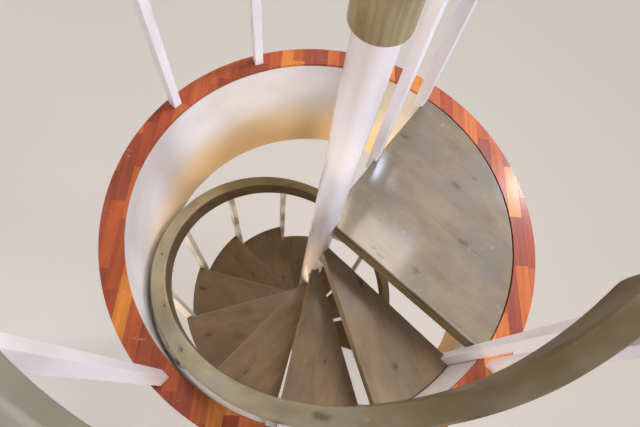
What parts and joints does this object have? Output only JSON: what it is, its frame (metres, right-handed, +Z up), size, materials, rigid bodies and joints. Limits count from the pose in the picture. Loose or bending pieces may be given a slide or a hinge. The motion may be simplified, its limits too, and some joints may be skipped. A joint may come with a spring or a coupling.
{
  "type": "spiral staircase",
  "caption": "Spiral staircase on a central column with wedge-shaped wooden treads, a quarter landing, a helical handrail, a round well lining and a gallery guard rail.",
  "frame": {"origin": "centre of the column at the underside of the base plate, on the lower floor", "axes": "+Z up along the column; +X along the landing's front edge from the column outwards; the landing turns from +X towards +Y and the treads go down clockwise seen from above"},
  "size_m": [1.45, 1.4498, 3.993],
  "materials": {
    "stained_wood": "olive grey stain under satin varnish",
    "white_steel": "white gloss paint",
    "white_paint": "white satin paint on wood",
    "white_plaster": "smooth white painted plaster",
    "floor_wood": "varnished hardwood blocks"
  },
  "bodies": {
    "root": {"base_plate": "white_steel", "column": "white_steel", "column_cap": "stained_wood", "tread_01": "stained_wood", "tread_02": "stained_wood", "tread_03": "stained_wood", "tread_04": "stained_wood", "tread_05": "stained_wood", "tread_06": "stained_wood", "tread_07": "stained_wood", "tread_08": "stained_wood", "tread_09": "stained_wood", "tread_10": "stained_wood", "tread_11": "stained_wood", "tread_brackets": "white_steel", "landing": "stained_wood", "landing_bearers": "white_steel", "landing_ledger": "white_steel", "landing_posts": "white_paint", "landing_rail": "stained_wood", "well_ring_1": "white_plaster", "well_ring_2": "white_plaster", "well_ring_3": "white_plaster", "well_ring_4": "white_plaster", "well_ring_5": "white_plaster", "well_ring_6": "white_plaster", "floor_rim": "floor_wood", "gallery_posts": "white_paint", "gallery_rail_1": "stained_wood", "gallery_rail_2": "stained_wood", "gallery_rail_3": "stained_wood", "gallery_rail_4": "stained_wood", "gallery_rail_5": "stained_wood", "stair_posts": "white_paint", "stair_rail_1": "stained_wood", "stair_rail_2": "stained_wood", "stair_rail_3": "stained_wood", "stair_rail_4": "stained_wood", "stair_rail_5": "stained_wood", "stair_rail_6": "stained_wood"}
  },
  "joints": []
}
